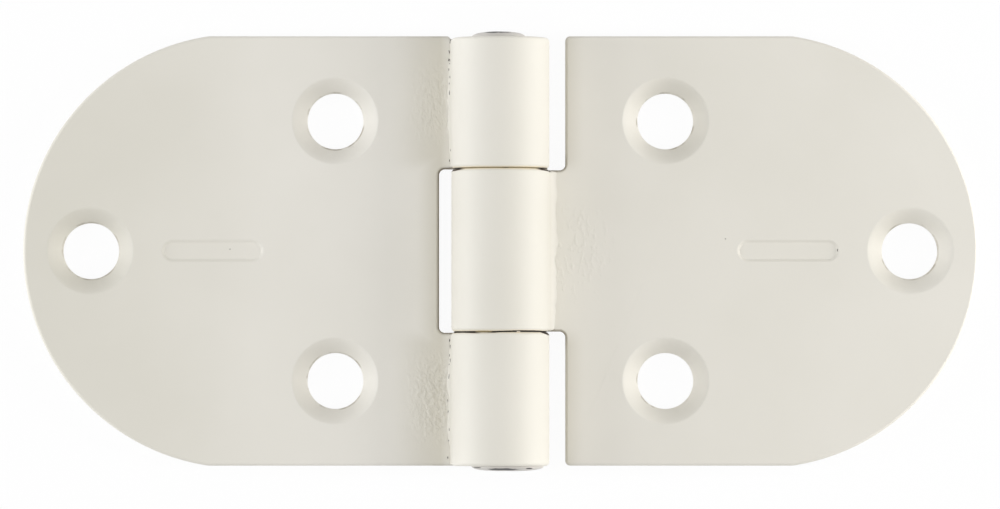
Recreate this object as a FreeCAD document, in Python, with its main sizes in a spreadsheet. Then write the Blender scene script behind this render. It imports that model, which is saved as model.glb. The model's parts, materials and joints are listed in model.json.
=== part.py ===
# Round-ended hinge of painted sheet steel, opened flat.
# Two stamped leaves are rolled into knuckles round one pin with peened ends.
# Frame: X across the two leaves, Y along the pin, Z out of the front face.
# The origin lies on the back face, straight below the middle of the pin.

import FreeCAD
import Part
import Sketcher
import math
import os

# Driving sizes in millimetres, angles in degrees
SIZES = {
    "overall_length": 80.0,  # tip to tip over both leaves
    "leaf_width": 36.0,  # along the pin
    "sheet_thickness": 2.05,  # steel with its coat of paint
    "end_overcut": 0.2,  # end radius beyond half the leaf's width
    "corner_blend": 3.0,  # dulls the corner between the end and the long edges
    "edge_break": 0.18,  # bevel on the edges of the stamping
    "rim_break": 0.1,  # bevel on the rims of the countersinks
    "leaf_corner_radius": 0.4,  # corners of the one-knuckle leaf beside its notches
    "pin_diameter": 4.0,
    "pin_clearance": 0.04,  # radial play of the pin in the knuckles
    "pin_head_seat": 0.16,  # flat ring of the knuckle's end under the peened head
    "pin_head_rim": 0.1,  # straight edge of the peened head
    "pin_head_height": 0.45,  # rim and dome together
    "middle_knuckle_length": 13.5,
    "knuckle_gap": 0.12,  # axial play at each side of the middle knuckle
    "seam_gap": 0.1,  # from the rolled lip down to the leaf
    "outer_notch_clearance": 1.06,  # two-knuckle leaf to the middle knuckle
    "middle_notch_clearance": 1.36,  # one-knuckle leaf to the outer knuckles
    "notch_corner_radius": 0.5,
    "screw_hole_diameter": 4.7,
    "countersink_diameter": 7.2,
    "countersink_angle": 90.0,
    "screw_pair_reach": 13.85,  # pin axis to the two screws beside the knuckles
    "screw_edge_inset": 7.1,  # long edge of the leaf to those two screws
    "screw_tip_inset": 5.64,  # round end of the leaf to the third screw
    "mark_length": 8.5,  # pressed bar between the screws
    "mark_width": 1.8,
    "mark_depth": 0.2,
    "mark_draft": 45.0,  # slope of the pressed bar's walls
}

# Sizes that follow from the driving ones, as formulas in the sheet
DERIVED = {
    "half_length": "overall_length / 2",
    "half_width": "leaf_width / 2",
    "end_radius": "half_width + end_overcut",
    "end_centre_reach": "half_length - end_radius",
    "eye_radius": "pin_diameter / 2 + pin_clearance",
    "barrel_radius": "eye_radius + sheet_thickness",
    "barrel_width": "2 * barrel_radius",
    "lip_height": "sheet_thickness + seam_gap",
    "middle_half": "middle_knuckle_length / 2",
    "outer_notch_half": "middle_half + knuckle_gap",
    "outer_notch_reach": "barrel_radius + outer_notch_clearance",
    "middle_notch_reach": "barrel_radius + middle_notch_clearance",
    "screw_hole_radius": "screw_hole_diameter / 2",
    "countersink_radius": "countersink_diameter / 2",
    "screw_pair_half": "half_width - screw_edge_inset",
    "screw_tip_reach": "half_length - screw_tip_inset",
    "mark_radius": "mark_width / 2",
    "mark_centre": "(screw_pair_reach + screw_tip_reach) / 2",
    "mark_near": "mark_centre - mark_length / 2 + mark_radius",
    "mark_far": "mark_centre + mark_length / 2 - mark_radius",
    "pin_radius": "pin_diameter / 2",
    "pin_head_radius": "eye_radius + edge_break + pin_head_seat",
    "pin_rim_reach": "half_width + pin_head_rim",
    "pin_tip_reach": "half_width + pin_head_height",
}

# Sketch references: origin point, axes, and the points of a line or an arc
ORIGIN = (-1, 1)
H_AXIS = -1
V_AXIS = -2
START, END, CENTRE = range(1, 4)

ANGLE_TOLERANCE = 1e-4
PLACE_TOLERANCE = 1e-3
UP = FreeCAD.Vector(0, 0, 1)

doc = FreeCAD.newDocument("round_ended_hinge")
dimensions = doc.addObject("Spreadsheet::Sheet", "dimensions")


def fill_sheet():
    cells = {alias: str(value) for alias, value in SIZES.items()}
    cells.update({alias: "=" + formula for alias, formula in DERIVED.items()})
    for row, (alias, content) in enumerate(cells.items(), start=1):
        dimensions.set(f"A{row}", alias)
        dimensions.set(f"B{row}", content)
        dimensions.setAlias(f"B{row}", alias)
    doc.recompute()


def size(alias):
    return float(dimensions.get(alias))


def bind(feature, target, alias, sign=1):
    minus = "-" if sign < 0 else ""
    feature.setExpression(target, f"{minus}dimensions.{alias}")


def new_sketch(body, name, role, height=None):
    sketch = body.newObject("Sketcher::SketchObject", name)
    plane = next(item for item in body.Origin.OriginFeatures if item.Role == role)
    sketch.AttachmentSupport = [(plane, "")]
    sketch.MapMode = "FlatFace"
    if height:
        bind(sketch, "AttachmentOffset.Base.z", height)
    return sketch


def relate(sketch, kind, *targets):
    sketch.addConstraint(Sketcher.Constraint(kind, *targets))


def measure(sketch, kind, targets, alias, sign=1):
    constraint = Sketcher.Constraint(kind, *targets, sign * size(alias))
    index = sketch.addConstraint(constraint)
    bind(sketch, f"Constraints[{index}]", alias, sign)


def fix_x(sketch, item, point, alias, sign=1):
    measure(sketch, "DistanceX", (*ORIGIN, item, point), alias, sign)


def fix_y(sketch, item, point, alias, sign=1):
    measure(sketch, "DistanceY", (*ORIGIN, item, point), alias, sign)


def add_line(sketch, start, end):
    first = FreeCAD.Vector(*start, 0)
    last = FreeCAD.Vector(*end, 0)
    return sketch.addGeometry(Part.LineSegment(first, last), False)


def add_arc(sketch, centre, radius, start_angle, end_angle):
    circle = Part.Circle(FreeCAD.Vector(*centre, 0), UP, radius)
    return sketch.addGeometry(Part.ArcOfCircle(circle, start_angle, end_angle), False)


def add_loop(sketch, corners):
    pairs = zip(corners, corners[1:] + corners[:1])
    lines = [add_line(sketch, start, end) for start, end in pairs]
    for line, following in zip(lines, lines[1:] + lines[:1]):
        relate(sketch, "Coincident", line, END, following, START)
    return lines


def add_rectangle(sketch, near, far, low, high):
    """Each side is a pair of the cell's alias and its sign."""
    x0, x1, y0, y1 = (sign * size(alias) for alias, sign in (near, far, low, high))
    lines = add_loop(sketch, [(x0, y0), (x1, y0), (x1, y1), (x0, y1)])
    bottom, end, top, start = lines
    for line in (bottom, top):
        relate(sketch, "Horizontal", line)
    for line in (end, start):
        relate(sketch, "Vertical", line)
    fix_x(sketch, start, END, *near)
    fix_x(sketch, end, END, *far)
    fix_y(sketch, bottom, START, *low)
    fix_y(sketch, top, START, *high)


def add_feature(body, kind, name, profile=None):
    feature = body.newObject(kind, name)
    if profile:
        feature.Profile = profile
    return feature


def cut(body, name, sketch, depth=None, upwards=False):
    """A pocket that must take material away."""
    before = body.Shape.Volume
    pocket = add_feature(body, "PartDesign::Pocket", name, sketch)
    pocket.Reversed = upwards
    if depth:
        bind(pocket, "Length", depth)
    else:
        pocket.Type = "ThroughAll"
    doc.recompute()
    if body.Shape.Volume >= before:
        raise RuntimeError(f"{name} cuts nothing")
    return pocket


def dress_edges(body, kind, name, wanted, measure_name, alias):
    """Dresses those edges of the tip's shape that the test wanted picks."""
    base = body.Tip
    edges = enumerate(base.Shape.Edges, start=1)
    picked = [f"Edge{index}" for index, edge in edges if wanted(base.Shape, edge)]
    dressing = add_feature(body, kind, name)
    dressing.Base = (base, picked)
    bind(dressing, measure_name, alias)
    doc.recompute()


def round_edges(body, name, wanted, radius):
    dress_edges(body, "PartDesign::Fillet", name, wanted, "Radius", radius)


def bevel_edges(body, name, wanted, width):
    dress_edges(body, "PartDesign::Chamfer", name, wanted, "Size", width)


def lies_at(value, alias):
    return abs(abs(value) - size(alias)) < PLACE_TOLERANCE


def is_upright(edge):
    if not isinstance(edge.Curve, Part.Line):
        return False
    return abs(edge.Curve.Direction.z) > 1 - ANGLE_TOLERANCE


def at_notch(edge):
    x = edge.CenterOfMass.x
    return lies_at(x, "outer_notch_reach") or lies_at(x, "middle_notch_reach")


def end_corner(shape, edge):
    return is_upright(edge) and not at_notch(edge)


def notch_corner(shape, edge):
    on_long_edge = lies_at(edge.CenterOfMass.y, "half_width")
    return is_upright(edge) and at_notch(edge) and not on_long_edge


def leaf_corner(shape, edge):
    on_long_edge = lies_at(edge.CenterOfMass.y, "half_width")
    return is_upright(edge) and at_notch(edge) and on_long_edge


def face_kind(face):
    """Skin is the sheet's front, back and rolled faces; sheared is its cut edge."""
    surface = face.Surface
    flat = isinstance(surface, Part.Plane)
    upright = abs(surface.Axis.z) > 1 - ANGLE_TOLERANCE
    level = abs(surface.Axis.z) < ANGLE_TOLERANCE
    if (flat and upright) or (not flat and level):
        return "skin"
    if (flat and level) or (not flat and upright):
        return "sheared"
    return "lip"


def sheared_edge(shape, edge):
    kinds = {face_kind(face) for face in shape.ancestorsOfType(edge, Part.Face)}
    return kinds == {"skin", "sheared"}


def countersink_rim(shape, edge):
    if not isinstance(edge.Curve, Part.Circle):
        return False
    return edge.isClosed() and lies_at(edge.Curve.Radius, "countersink_radius")


def draw_section(body, side):
    """The sheet seen along the pin: flat leaf, then the roll up to its lip."""
    sketch = new_sketch(body, body.Name + "_section", "XZ_Plane")
    eye = size("eye_radius")
    barrel = size("barrel_radius")
    thickness = size("sheet_thickness")
    tip = side * size("half_length")
    axis = (0, barrel)

    lip_turn = math.asin((size("lip_height") - barrel) / barrel)
    lip_angle = lip_turn if side > 0 else math.pi - lip_turn
    root_angle = 3 * math.pi / 2 if side > 0 else -math.pi / 2
    first, last = sorted((lip_angle, root_angle))
    root, lip = (END, START) if side > 0 else (START, END)
    lip_outside = (barrel * math.cos(lip_angle), barrel + barrel * math.sin(lip_angle))
    lip_inside = (eye * math.cos(lip_angle), barrel + eye * math.sin(lip_angle))

    back = add_line(sketch, (tip, 0), (0, 0))
    roll = add_arc(sketch, axis, barrel, first, last)
    lip_face = add_line(sketch, lip_outside, lip_inside)
    bore = add_arc(sketch, axis, eye, first, last)
    front = add_line(sketch, (0, thickness), (tip, thickness))
    end = add_line(sketch, (tip, thickness), (tip, 0))

    relate(sketch, "Coincident", back, END, *ORIGIN)
    relate(sketch, "Coincident", back, END, roll, root)
    relate(sketch, "Coincident", roll, lip, lip_face, START)
    relate(sketch, "Coincident", lip_face, END, bore, lip)
    relate(sketch, "Coincident", bore, root, front, START)
    relate(sketch, "Coincident", front, END, end, START)
    relate(sketch, "Coincident", end, END, back, START)
    relate(sketch, "Coincident", roll, CENTRE, bore, CENTRE)
    relate(sketch, "PointOnObject", roll, CENTRE, V_AXIS)
    relate(sketch, "PointOnObject", bore, root, V_AXIS)
    relate(sketch, "PointOnObject", roll, CENTRE, lip_face)
    relate(sketch, "Horizontal", back)
    relate(sketch, "Horizontal", front)
    relate(sketch, "Vertical", end)
    measure(sketch, "Radius", (roll,), "barrel_radius")
    measure(sketch, "Radius", (bore,), "eye_radius")
    fix_x(sketch, back, START, "half_length", side)
    fix_y(sketch, roll, lip, "lip_height")
    return sketch


def draw_offcut(body, side):
    """What the press cuts away round the leaf's half-round end."""
    sketch = new_sketch(body, body.Name + "_offcut", "XY_Plane")
    centre = side * size("end_centre_reach")
    radius = size("end_radius")
    far = side * size("overall_length")
    clear = size("leaf_width")

    first = -math.pi / 2 if side > 0 else math.pi / 2
    arc = add_arc(sketch, (centre, 0), radius, first, first + math.pi)
    top, bottom = (END, START) if side > 0 else (START, END)
    corners = [(centre, radius), (centre, clear), (far, clear)]
    corners += [(far, -clear), (centre, -clear), (centre, -radius)]
    pairs = list(zip(corners, corners[1:]))
    lines = [add_line(sketch, start, end) for start, end in pairs]
    rise, over, drop, back, close = lines

    for line, following in zip(lines, lines[1:]):
        relate(sketch, "Coincident", line, END, following, START)
    relate(sketch, "Coincident", arc, top, rise, START)
    relate(sketch, "Coincident", close, END, arc, bottom)
    relate(sketch, "PointOnObject", arc, CENTRE, H_AXIS)
    for line in (rise, close):
        relate(sketch, "PointOnObject", arc, CENTRE, line)
    for line in (rise, drop, close):
        relate(sketch, "Vertical", line)
    for line in (over, back):
        relate(sketch, "Horizontal", line)
    measure(sketch, "Radius", (arc,), "end_radius")
    fix_x(sketch, arc, CENTRE, "end_centre_reach", side)
    fix_x(sketch, drop, START, "overall_length", side)
    fix_y(sketch, over, START, "leaf_width")
    fix_y(sketch, back, START, "leaf_width", -1)
    return sketch


def draw_screw_holes(body, side):
    sketch = new_sketch(body, body.Name + "_screws", "XY_Plane", "sheet_thickness")
    radius = size("screw_hole_radius")
    places = [("screw_pair_reach", 1), ("screw_pair_reach", -1), ("screw_tip_reach", 0)]
    for reach, row in places:
        centre = FreeCAD.Vector(side * size(reach), row * size("screw_pair_half"), 0)
        circle = sketch.addGeometry(Part.Circle(centre, UP, radius), False)
        measure(sketch, "Radius", (circle,), "screw_hole_radius")
        fix_x(sketch, circle, CENTRE, reach, side)
        if row:
            fix_y(sketch, circle, CENTRE, "screw_pair_half", row)
        else:
            relate(sketch, "PointOnObject", circle, CENTRE, H_AXIS)
    return sketch


def draw_mark(body, side):
    """A bar with round ends, midway between the screws."""
    sketch = new_sketch(body, body.Name + "_mark_outline", "XY_Plane", "sheet_thickness")
    left, right = ("mark_near", "mark_far") if side > 0 else ("mark_far", "mark_near")
    radius = size("mark_radius")
    x0, x1 = side * size(left), side * size(right)

    left_end = add_arc(sketch, (x0, 0), radius, math.pi / 2, 3 * math.pi / 2)
    right_end = add_arc(sketch, (x1, 0), radius, -math.pi / 2, math.pi / 2)
    bottom = add_line(sketch, (x0, -radius), (x1, -radius))
    top = add_line(sketch, (x1, radius), (x0, radius))

    relate(sketch, "Tangent", left_end, END, bottom, START)
    relate(sketch, "Tangent", bottom, END, right_end, START)
    relate(sketch, "Tangent", right_end, END, top, START)
    relate(sketch, "Tangent", top, END, left_end, START)
    relate(sketch, "Equal", left_end, right_end)
    for arc, reach in ((left_end, left), (right_end, right)):
        relate(sketch, "PointOnObject", arc, CENTRE, H_AXIS)
        fix_x(sketch, arc, CENTRE, reach, side)
    measure(sketch, "Radius", (left_end,), "mark_radius")
    return sketch


def drill_screw_holes(body, side):
    sketch = draw_screw_holes(body, side)
    doc.recompute()
    hole = add_feature(body, "PartDesign::Hole", body.Name + "_screw_holes", sketch)
    hole.Threaded = False
    hole.ThreadType = "None"
    hole.DepthType = "ThroughAll"
    hole.HoleCutType = "Countersink"
    hole.HoleCutCustomValues = True
    bind(hole, "Diameter", "screw_hole_diameter")
    bind(hole, "HoleCutDiameter", "countersink_diameter")
    bind(hole, "HoleCutCountersinkAngle", "countersink_angle")
    doc.recompute()


def draw_outer_notch(body):
    """Room for the middle knuckle, in the leaf that has the outer two."""
    sketch = new_sketch(body, body.Name + "_notch_outline", "XY_Plane")
    near, far = ("outer_notch_reach", -1), ("barrel_width", 1)
    add_rectangle(sketch, near, far, ("outer_notch_half", -1), ("outer_notch_half", 1))
    return sketch


def draw_middle_notches(body):
    """Room for the outer knuckles, in the leaf that has the middle one."""
    sketch = new_sketch(body, body.Name + "_notch_outline", "XY_Plane")
    near, far = ("barrel_width", -1), ("middle_notch_reach", 1)
    add_rectangle(sketch, near, far, ("middle_half", 1), ("leaf_width", 1))
    add_rectangle(sketch, near, far, ("leaf_width", -1), ("middle_half", -1))
    return sketch


def make_leaf(name, side, draw_notch):
    body = doc.addObject("PartDesign::Body", name)
    sheet = add_feature(body, "PartDesign::Pad", name + "_sheet", draw_section(body, side))
    sheet.SideType = "Symmetric"
    bind(sheet, "Length", "leaf_width")
    doc.recompute()
    cut(body, name + "_end", draw_offcut(body, side), upwards=True)
    cut(body, name + "_notch", draw_notch(body), upwards=True)
    round_edges(body, name + "_end_corners", end_corner, "corner_blend")
    round_edges(body, name + "_notch_corners", notch_corner, "notch_corner_radius")
    if side > 0:
        round_edges(body, name + "_leaf_corners", leaf_corner, "leaf_corner_radius")
    bevel_edges(body, name + "_edges", sheared_edge, "edge_break")
    drill_screw_holes(body, side)
    bevel_edges(body, name + "_countersink_rims", countersink_rim, "rim_break")
    mark = cut(body, name + "_mark", draw_mark(body, side), "mark_depth")
    bind(mark, "TaperAngle", "mark_draft", -1)
    doc.recompute()
    return body


def draw_pin_section(body):
    """Half of the pin's outline: shaft, two head rims and two low domes."""
    sketch = new_sketch(body, body.Name + "_section", "XY_Plane", "barrel_radius")
    shaft = size("pin_radius")
    head = size("pin_head_radius")
    seat, rim, tip = size("half_width"), size("pin_rim_reach"), size("pin_tip_reach")

    rise = tip - rim
    dome_radius = (head ** 2 + rise ** 2) / (2 * rise)
    dome_half = math.asin(head / dome_radius)
    upright = math.pi / 2
    centre = (0, tip - dome_radius)
    mirrored = (0, dome_radius - tip)

    axis = add_line(sketch, (0, -tip), (0, tip))
    top = add_arc(sketch, centre, dome_radius, upright - dome_half, upright)
    bottom = add_arc(sketch, mirrored, dome_radius, -upright, dome_half - upright)
    corners = [(head, rim), (head, seat), (shaft, seat)]
    corners += [(shaft, -seat), (head, -seat), (head, -rim)]
    lines = [add_line(sketch, start, end) for start, end in zip(corners, corners[1:])]
    top_rim, top_seat, side_line, bottom_seat, bottom_rim = lines

    for line, following in zip(lines, lines[1:]):
        relate(sketch, "Coincident", line, END, following, START)
    relate(sketch, "Coincident", axis, END, top, END)
    relate(sketch, "Coincident", axis, START, bottom, START)
    relate(sketch, "Coincident", top, START, top_rim, START)
    relate(sketch, "Coincident", bottom, END, bottom_rim, END)
    for point in ((axis, START), (axis, END), (top, CENTRE), (bottom, CENTRE)):
        relate(sketch, "PointOnObject", *point, V_AXIS)
    for line in (top_rim, side_line, bottom_rim):
        relate(sketch, "Vertical", line)
    for line in (top_seat, bottom_seat):
        relate(sketch, "Horizontal", line)
    fix_x(sketch, side_line, START, "pin_radius")
    fix_x(sketch, top_rim, START, "pin_head_radius")
    fix_x(sketch, bottom_rim, START, "pin_head_radius")
    for sign, dome_tip, rim_end, seat_end in (
        (1, (axis, END), (top_rim, START), (side_line, START)),
        (-1, (axis, START), (bottom_rim, END), (side_line, END)),
    ):
        fix_y(sketch, *dome_tip, "pin_tip_reach", sign)
        fix_y(sketch, *rim_end, "pin_rim_reach", sign)
        fix_y(sketch, *seat_end, "half_width", sign)
    return sketch


def make_pin(name):
    body = doc.addObject("PartDesign::Body", name)
    sketch = draw_pin_section(body)
    doc.recompute()
    turned = add_feature(body, "PartDesign::Revolution", name + "_turned", sketch)
    turned.ReferenceAxis = (sketch, ["V_Axis"])
    doc.recompute()
    return body


def check_document(bodies):
    for item in doc.Objects:
        if "Invalid" in item.State or "Error" in item.State:
            raise RuntimeError(f"{item.Name}: {item.State}")
        if item.isDerivedFrom("Sketcher::SketchObject") and not item.FullyConstrained:
            raise RuntimeError(f"{item.Name} is not fully constrained")
    for body in bodies:
        if body.Shape.isNull() or not body.Shape.isValid() or len(body.Shape.Solids) != 1:
            raise RuntimeError(f"{body.Label} has no single valid solid")


def export(bodies):
    os.makedirs("parts", exist_ok=True)
    for body in bodies:
        body.Shape.exportStep(f"parts/{body.Label}.step")
        box = body.Shape.optimalBoundingBox()
        print(f"{body.Label}: {body.Shape.Volume:.1f} mm3, "
              f"{box.XLength:.2f} x {box.YLength:.2f} x {box.ZLength:.2f} mm")


fill_sheet()
pieces = [
    make_leaf("two_knuckle_leaf", -1, draw_outer_notch),
    make_leaf("one_knuckle_leaf", 1, draw_middle_notches),
    make_pin("hinge_pin"),
]
check_document(pieces)
export(pieces)
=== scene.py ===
import bmesh
import bpy
import json
import math
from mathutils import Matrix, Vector, noise


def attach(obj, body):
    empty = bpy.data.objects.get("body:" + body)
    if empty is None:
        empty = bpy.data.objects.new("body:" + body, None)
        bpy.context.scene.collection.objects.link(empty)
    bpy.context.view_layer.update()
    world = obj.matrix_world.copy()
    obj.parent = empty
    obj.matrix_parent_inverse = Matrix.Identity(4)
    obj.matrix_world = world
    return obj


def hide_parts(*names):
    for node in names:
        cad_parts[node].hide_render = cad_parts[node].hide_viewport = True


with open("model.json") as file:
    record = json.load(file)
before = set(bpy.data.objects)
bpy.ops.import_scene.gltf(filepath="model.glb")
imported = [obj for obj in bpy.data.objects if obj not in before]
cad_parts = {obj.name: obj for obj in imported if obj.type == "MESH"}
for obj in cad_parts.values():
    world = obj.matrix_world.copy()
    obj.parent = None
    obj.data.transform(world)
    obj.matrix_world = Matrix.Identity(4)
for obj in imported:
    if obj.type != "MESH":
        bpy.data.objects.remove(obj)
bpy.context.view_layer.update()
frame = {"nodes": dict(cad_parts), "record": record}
mm = 0.001

# what both the shapes and the paint need to know about the hinge, in metres
mounts = {mount["name"]: mount for mount in frame["record"]["mounts"]}
screwPair = mounts["two_knuckle_leaf_screw_pair"]
tipScrew = mounts["two_knuckle_leaf_tip_screw"]
hinge = {
    "holes": [  # from the middle, across and along
        (abs(screwPair["pos_m"][0]), screwPair["dims"]["spacing_y_mm"] / 2 * mm),
        (abs(tipScrew["pos_m"][0]), 0.0)],
    "holeRadius": tipScrew["dims"]["r_mm"] * mm,
    "pinHeight": 4.09 * mm,  # pin axis above the back face
    "barrelRadius": 4.09 * mm,
    "sheet": 2.05 * mm,
    "joint": 6.81 * mm,  # middle of each gap between two knuckles, along the pin
    "end": 18.0 * mm,  # end of the outer knuckles
    "drop": 1.5 * mm,  # across to a drop of paint that bridges the lower gap
    "gold": -1.35 * mm,  # across to a stretch of clean oil in the lower gap
}


def linear(code):
    parts = [int(code[i:i + 2], 16) / 255 for i in (1, 3, 5)]
    return [p / 12.92 if p <= 0.04045 else ((p + 0.055) / 1.055) ** 2.4 for p in parts] + [1.0]


# an input takes a value, a socket, or a node whose first open output is meant
def feed(tree, node, inputs):
    for socket, value in inputs.items():
        if isinstance(value, bpy.types.Node):
            value = next(output for output in value.outputs if output.enabled)
        if isinstance(value, bpy.types.NodeSocket):
            tree.links.new(value, node.inputs[socket])
        else:
            node.inputs[socket].default_value = value


def addNode(tree, kind, settings=None, inputs=None):
    node = tree.nodes.new(kind)
    for name, value in (settings or {}).items():
        setattr(node, name, value)
    feed(tree, node, inputs or {})
    return node


# distance between two values, whichever is larger
def howFar(tree, value, middle):
    off = addNode(tree, "ShaderNodeMath", {"operation": "SUBTRACT"}, {0: value, 1: middle})
    return addNode(tree, "ShaderNodeMath", {"operation": "ABSOLUTE"}, {0: off})


# full only where all these shares are
def allOf(tree, *shares):
    meeting = shares[0]
    for share in shares[1:]:
        meeting = addNode(tree, "ShaderNodeMath", {"operation": "MULTIPLY"}, {0: meeting, 1: share})
    return meeting


# lays one colour after another over a coat, each where its share says
def layColours(tree, coat, layers):
    for share, code in layers:
        coat = addNode(tree, "ShaderNodeMix", {"data_type": "RGBA"},
                       {0: share, 6: coat, 7: linear(code)})
    return coat


def shapeCurve(node, points):
    line = node.mapping.curves[0].points
    line[0].location = points[0]
    line[-1].location = points[-1]
    for spot in points[1:-1]:
        line.new(*spot)
    node.mapping.update()


def newMaterial(name):
    material = bpy.data.materials.new(name)
    material.use_nodes = True
    tree = material.node_tree
    shader = next(node for node in tree.nodes if node.type == "BSDF_PRINCIPLED")
    place = addNode(tree, "ShaderNodeTexCoord").outputs["Object"]
    return material, tree, shader, place


# Stoving enamel: sprayed cream paint baked on sheet steel. The eye sees a satin skin with a
# faint orange peel and faint clouds of tone. Bands across the hinge are partly its tone and
# partly painted light and shade. There is painted shade beside the knuckles, on the notches'
# edges and in stretches round the screw holes' rims. At the gaps between the knuckles it ends in
# pale warm lips, with dark dirt and painted shade between them. A pair runs from none to full.
enamel = {
    "cream": "#D4D1C6",
    "milk": "#E4E1D9",  # paler, cooler tone: a thicker coat in the clouds, painted light in the bands across the hinge
    "sprayAndShade": [  # across the hinge in millimetres, and the share of milk, partly the coat's tone and partly painted light and shade
        (-38.0, 0.1), (-25.0, 0.45), (-13.0, 0.9), (-8.0, 0.85), (0.0, 0.4),
        (8.5, 0.76), (16.0, 0.56), (38.0, 0.66)],
    "sprayAndShadeHalf": 40 * mm,  # half the width that the list spans
    "cloud": 11 * mm,
    "cloudTone": (0.35, 0.65),  # of the noise, from leaner to richer
    "faint": 0.1,  # how much the clouds change the share of milk
    "creaseShade": "#CFCBBF",  # painted shade beside the knuckles
    "creaseShadeLeft": (9.7 * mm, 4.9 * mm),  # beside the two knuckles
    "creaseShadeNotch": (7.2 * mm, 5.0 * mm),  # beside the notch between them
    "creaseShadeRight": (7.2 * mm, 5.0 * mm),  # in the notches of the other leaf
    "creaseShadePast": (-0.5 * mm, 1.2 * mm),  # along the pin, past the gap
    "creaseShadeToBead": (4.4 * mm, 5.0 * mm),  # the bead in the crease is left without the painted shade
    "sheared": "#857A66",  # painted shade on the edges of the notches
    "notch": 5.7 * mm,  # the notches reach this far across
    "notchTop": hinge["sheet"] + 0.02 * mm,
    "notchFades": (0.5 * mm, 1.5 * mm, 0.2),  # along the pin, past the gap, to this share
    "steep": (0.9, 0.5),  # upward part of the face's direction
    "rim": "#B3ADA0",  # painted shade in stretches round the screw holes' rims
    "rimShadeWidth": (0.15 * mm, 0.07 * mm),  # outside the hole
    "rimShadeStretch": (0.48, 0.62),  # of the noise
    "onBarrel": (4.7 * mm, 4.3 * mm),  # from the pin's axis
    "paleLip": "#E8DFC9",  # paler, warmer tone at the lips of the gaps
    "lips": (0.27 * mm, 0.15 * mm),
    "lipRagged": 0.14 * mm,
    "dirtAndShade": "#2E2014",  # dirt along the lower gap, and painted shade at the ends of both gaps and in a fan at the right end of the lower one
    "creep": [  # across the barrel, and how far the dirt lies from the lower gap in millimetres
        (-4.0, 0.04), (-2.4, 0.06), (-1.3, 0.08), (0.2, 0.0), (2.6, -0.04), (4.0, 0.0)],
    "creepMost": 0.3 * mm,
    "dip": (2.6 * mm, 4.0 * mm, -0.17 * mm),  # the upper line dips towards both ends
    "line": (0.14 * mm, 0.1 * mm),  # from the middle of the dirt
    "lineRagged": 0.1 * mm,
    "shadowWedge": (3.2 * mm, 4.0 * mm, 0.3 * mm),  # painted shadow fans out at the right end of the lower gap
    # painted shade towards the ends of both gaps, across the barrel
    "ends": (2.9 * mm, 3.4 * mm),
    "cleaner": (0.2 * mm, 0.8 * mm, 0.25),  # less dirt, down to this share, by the clean oil
    "scuff": 1.6 * mm,
    "shine": 0.22,
    "gloss": (0.3, 0.7, 0.48, 0.56),  # of the clouds, and the roughness there
    "peel": 0.75 * mm,
    "peelDepth": 0.02 * mm,
    "peelStrength": 0.35,
}


# share of milk across the hinge, partly the coat's tone and partly painted light and shade:
# least at the far end of the left leaf, most near its knuckles, with faint clouds
def sprayedAndShadedCoat(tree, at):
    cloudy = addNode(tree, "ShaderNodeMapRange", None,
                     {"Value": at["clouds"], "From Min": enamel["cloudTone"][0],
                      "From Max": enamel["cloudTone"][1], "To Min": -enamel["faint"],
                      "To Max": enamel["faint"]})
    over = addNode(tree, "ShaderNodeMapRange", None,
                   {"Value": at["x"], "From Min": -enamel["sprayAndShadeHalf"], "From Max": enamel["sprayAndShadeHalf"]})
    sprayAndShade = addNode(tree, "ShaderNodeFloatCurve", None, {"Value": over})
    shapeCurve(sprayAndShade, [(0.5 + 0.5 * across * mm / enamel["sprayAndShadeHalf"], share)
                       for across, share in enamel["sprayAndShade"]])
    tone = addNode(tree, "ShaderNodeMath", {"operation": "ADD", "use_clamp": True},
                   {0: sprayAndShade, 1: cloudy})
    return layColours(tree, linear(enamel["cream"]), [(tone, enamel["milk"])])


# painted shade: a band along the two knuckles, a narrower one in the other leaf's notches
def creaseShadeBands(tree, at):
    left = addNode(tree, "ShaderNodeMath", {"operation": "LESS_THAN"}, {0: at["x"], 1: 0.0})
    past = addNode(tree, "ShaderNodeMapRange", {"interpolation_type": "SMOOTHSTEP"},
                   {"Value": at["along"], "From Min": hinge["joint"] + enamel["creaseShadePast"][0],
                    "From Max": hinge["joint"] + enamel["creaseShadePast"][1]})
    shadeShare = 0.0
    for name, limits in (("creaseShadeLeft", (left, past)), ("creaseShadeNotch", (left,)), ("creaseShadeRight", (past,))):
        band = addNode(tree, "ShaderNodeMapRange", {"interpolation_type": "SMOOTHSTEP"},
                       {"Value": at["aside"], "From Min": enamel[name][0],
                        "From Max": enamel[name][1]})
        shadeShare = addNode(tree, "ShaderNodeMath", {"operation": "MAXIMUM"},
                           {0: shadeShare, 1: allOf(tree, band, *limits)})
    toBead = addNode(tree, "ShaderNodeMapRange", None,
                     {"Value": at["aside"], "From Min": enamel["creaseShadeToBead"][0],
                      "From Max": enamel["creaseShadeToBead"][1]})
    return allOf(tree, shadeShare, toBead)


# painted shade, on the walls of the leaves only
def shearedEdges(tree, at):
    facing = addNode(tree, "ShaderNodeSeparateXYZ", None,
                     {"Vector": addNode(tree, "ShaderNodeNewGeometry").outputs["Normal"]})
    steep = addNode(tree, "ShaderNodeMapRange", None,
                    {"Value": facing.outputs["Z"], "From Min": enamel["steep"][0],
                     "From Max": enamel["steep"][1]})
    low = addNode(tree, "ShaderNodeMath", {"operation": "LESS_THAN"},
                  {0: at["z"], 1: enamel["notchTop"]})
    near = addNode(tree, "ShaderNodeMath", {"operation": "LESS_THAN"},
                   {0: at["aside"], 1: enamel["notch"]})
    start, end, least = enamel["notchFades"]
    inside = addNode(tree, "ShaderNodeMapRange", None,
                     {"Value": at["along"], "From Min": hinge["joint"] + start,
                      "From Max": hinge["joint"] + end, "To Min": 1.0, "To Max": least})
    return allOf(tree, steep, low, near, inside)


# painted shade in stretches just outside the screw holes
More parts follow.
